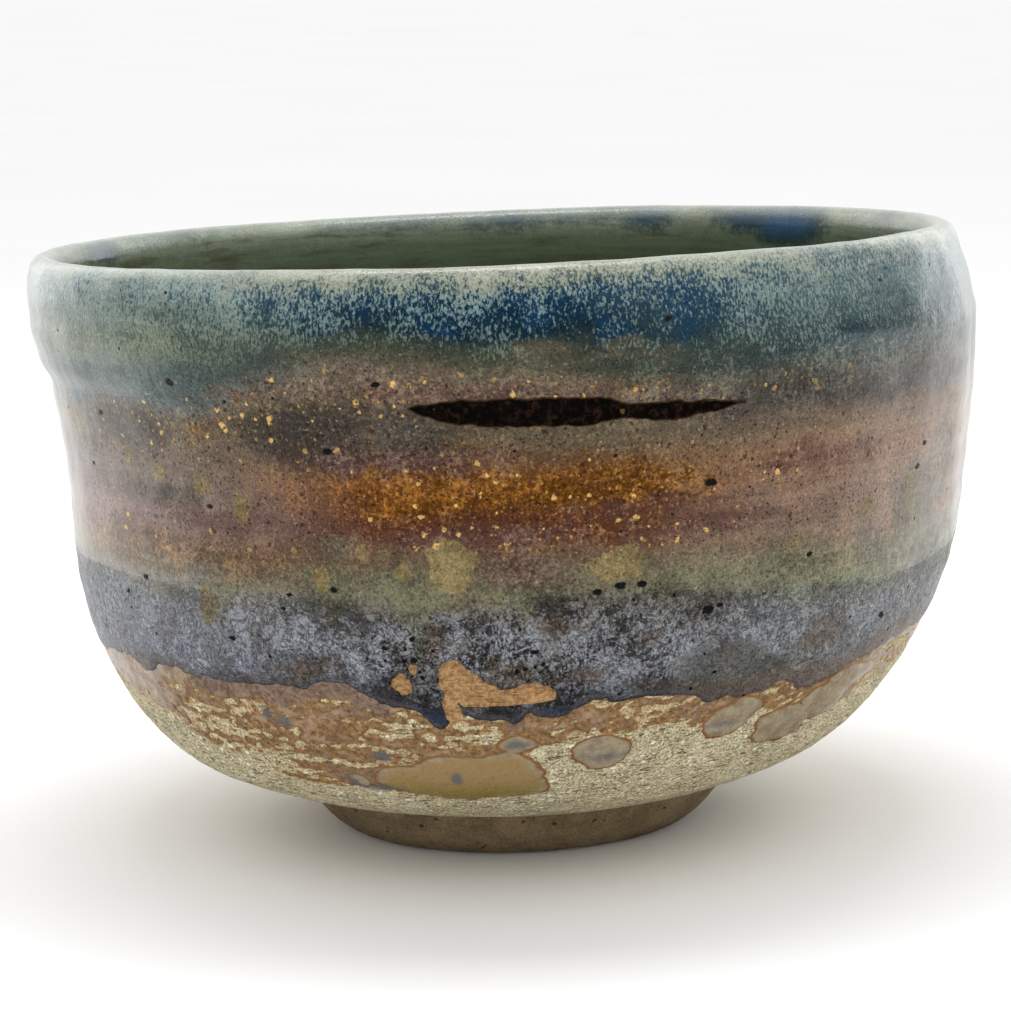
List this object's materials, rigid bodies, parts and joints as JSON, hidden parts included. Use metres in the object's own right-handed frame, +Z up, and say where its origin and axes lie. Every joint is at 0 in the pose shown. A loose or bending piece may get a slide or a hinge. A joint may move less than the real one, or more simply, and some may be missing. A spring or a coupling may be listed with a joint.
{
  "type": "matcha bowl",
  "caption": "Hand-thrown stoneware tea bowl on a turned foot ring, with layered blue, amber and slate glazes over bare clay near the foot.",
  "frame": {"origin": "middle of the footprint on the surface that the bowl stands on", "axes": "+Z up along the bowl's axis; -Y is the front with the dark streak, +X the side with the rounder belly"},
  "size_m": [0.1202, 0.1196, 0.0773],
  "materials": {
    "stoneware": "unglazed sandy clay with grit and drag marks",
    "foot_clay": "unglazed clay, fired darker",
    "liner_green": "glossy olive-green glaze",
    "rim_blue": "glossy blue-green glaze with pale speckles",
    "amber": "glossy iron-amber glaze",
    "slate": "satin blue-grey glaze with brown mottling",
    "iron_black": "wet-looking iron-black glaze",
    "run_glaze": "thin olive-brown glaze"
  },
  "bodies": {
    "root": {"clay_body": "stoneware", "foot_ring": "foot_clay", "liner_glaze": "liner_green", "rim_glaze": "rim_blue", "amber_glaze": "amber", "slate_glaze": "slate", "iron_streak": "iron_black", "glaze_splashes": "run_glaze"}
  },
  "joints": []
}
